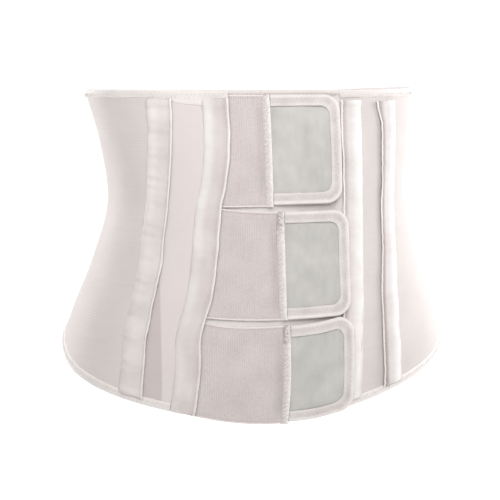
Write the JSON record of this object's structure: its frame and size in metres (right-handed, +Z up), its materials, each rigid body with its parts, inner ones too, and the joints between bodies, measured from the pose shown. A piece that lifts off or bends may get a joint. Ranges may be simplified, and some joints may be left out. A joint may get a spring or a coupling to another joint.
{
  "type": "abdominal binder",
  "caption": "White boned abdominal binder worn round the waist, closed in front by elastic straps with hook-and-loop tabs.",
  "frame": {"origin": "middle of the torso at the waist, the narrowest level", "axes": "+Z up the torso, +Y to the wearer's back, +X to the right of a viewer in front"},
  "size_m": [0.3453, 0.2327, 0.2773],
  "materials": {
    "mesh": "matte ribbed power mesh",
    "lining": "matte brushed knit",
    "tape": "soft satin binding tape",
    "casing": "soft brushed tricot",
    "elastic": "matte ribbed woven elastic",
    "thread": "overlock thread",
    "hook_pad": "milky grey hook-and-loop pad, smooth side out"
  },
  "bodies": {
    "root": {"back_panel": "mesh", "front_panel_left": "mesh", "front_panel_right": "mesh", "underlap": "lining", "top_binding": "tape", "bottom_binding": "tape", "underlap_top_binding": "tape", "underlap_bottom_binding": "tape", "casing_left_outer": "casing", "casing_right_outer": "casing", "casing_right_inner": "casing", "strap_placket": "casing", "strap_top": "elastic", "joint_seam_top": "thread", "tab_binding_top": "tape", "hook_pad_top": "hook_pad", "strap_middle": "elastic", "joint_seam_middle": "thread", "tab_binding_middle": "tape", "hook_pad_middle": "hook_pad", "strap_bottom": "elastic", "joint_seam_bottom": "thread", "tab_binding_bottom": "tape", "hook_pad_bottom": "hook_pad"}
  },
  "joints": []
}
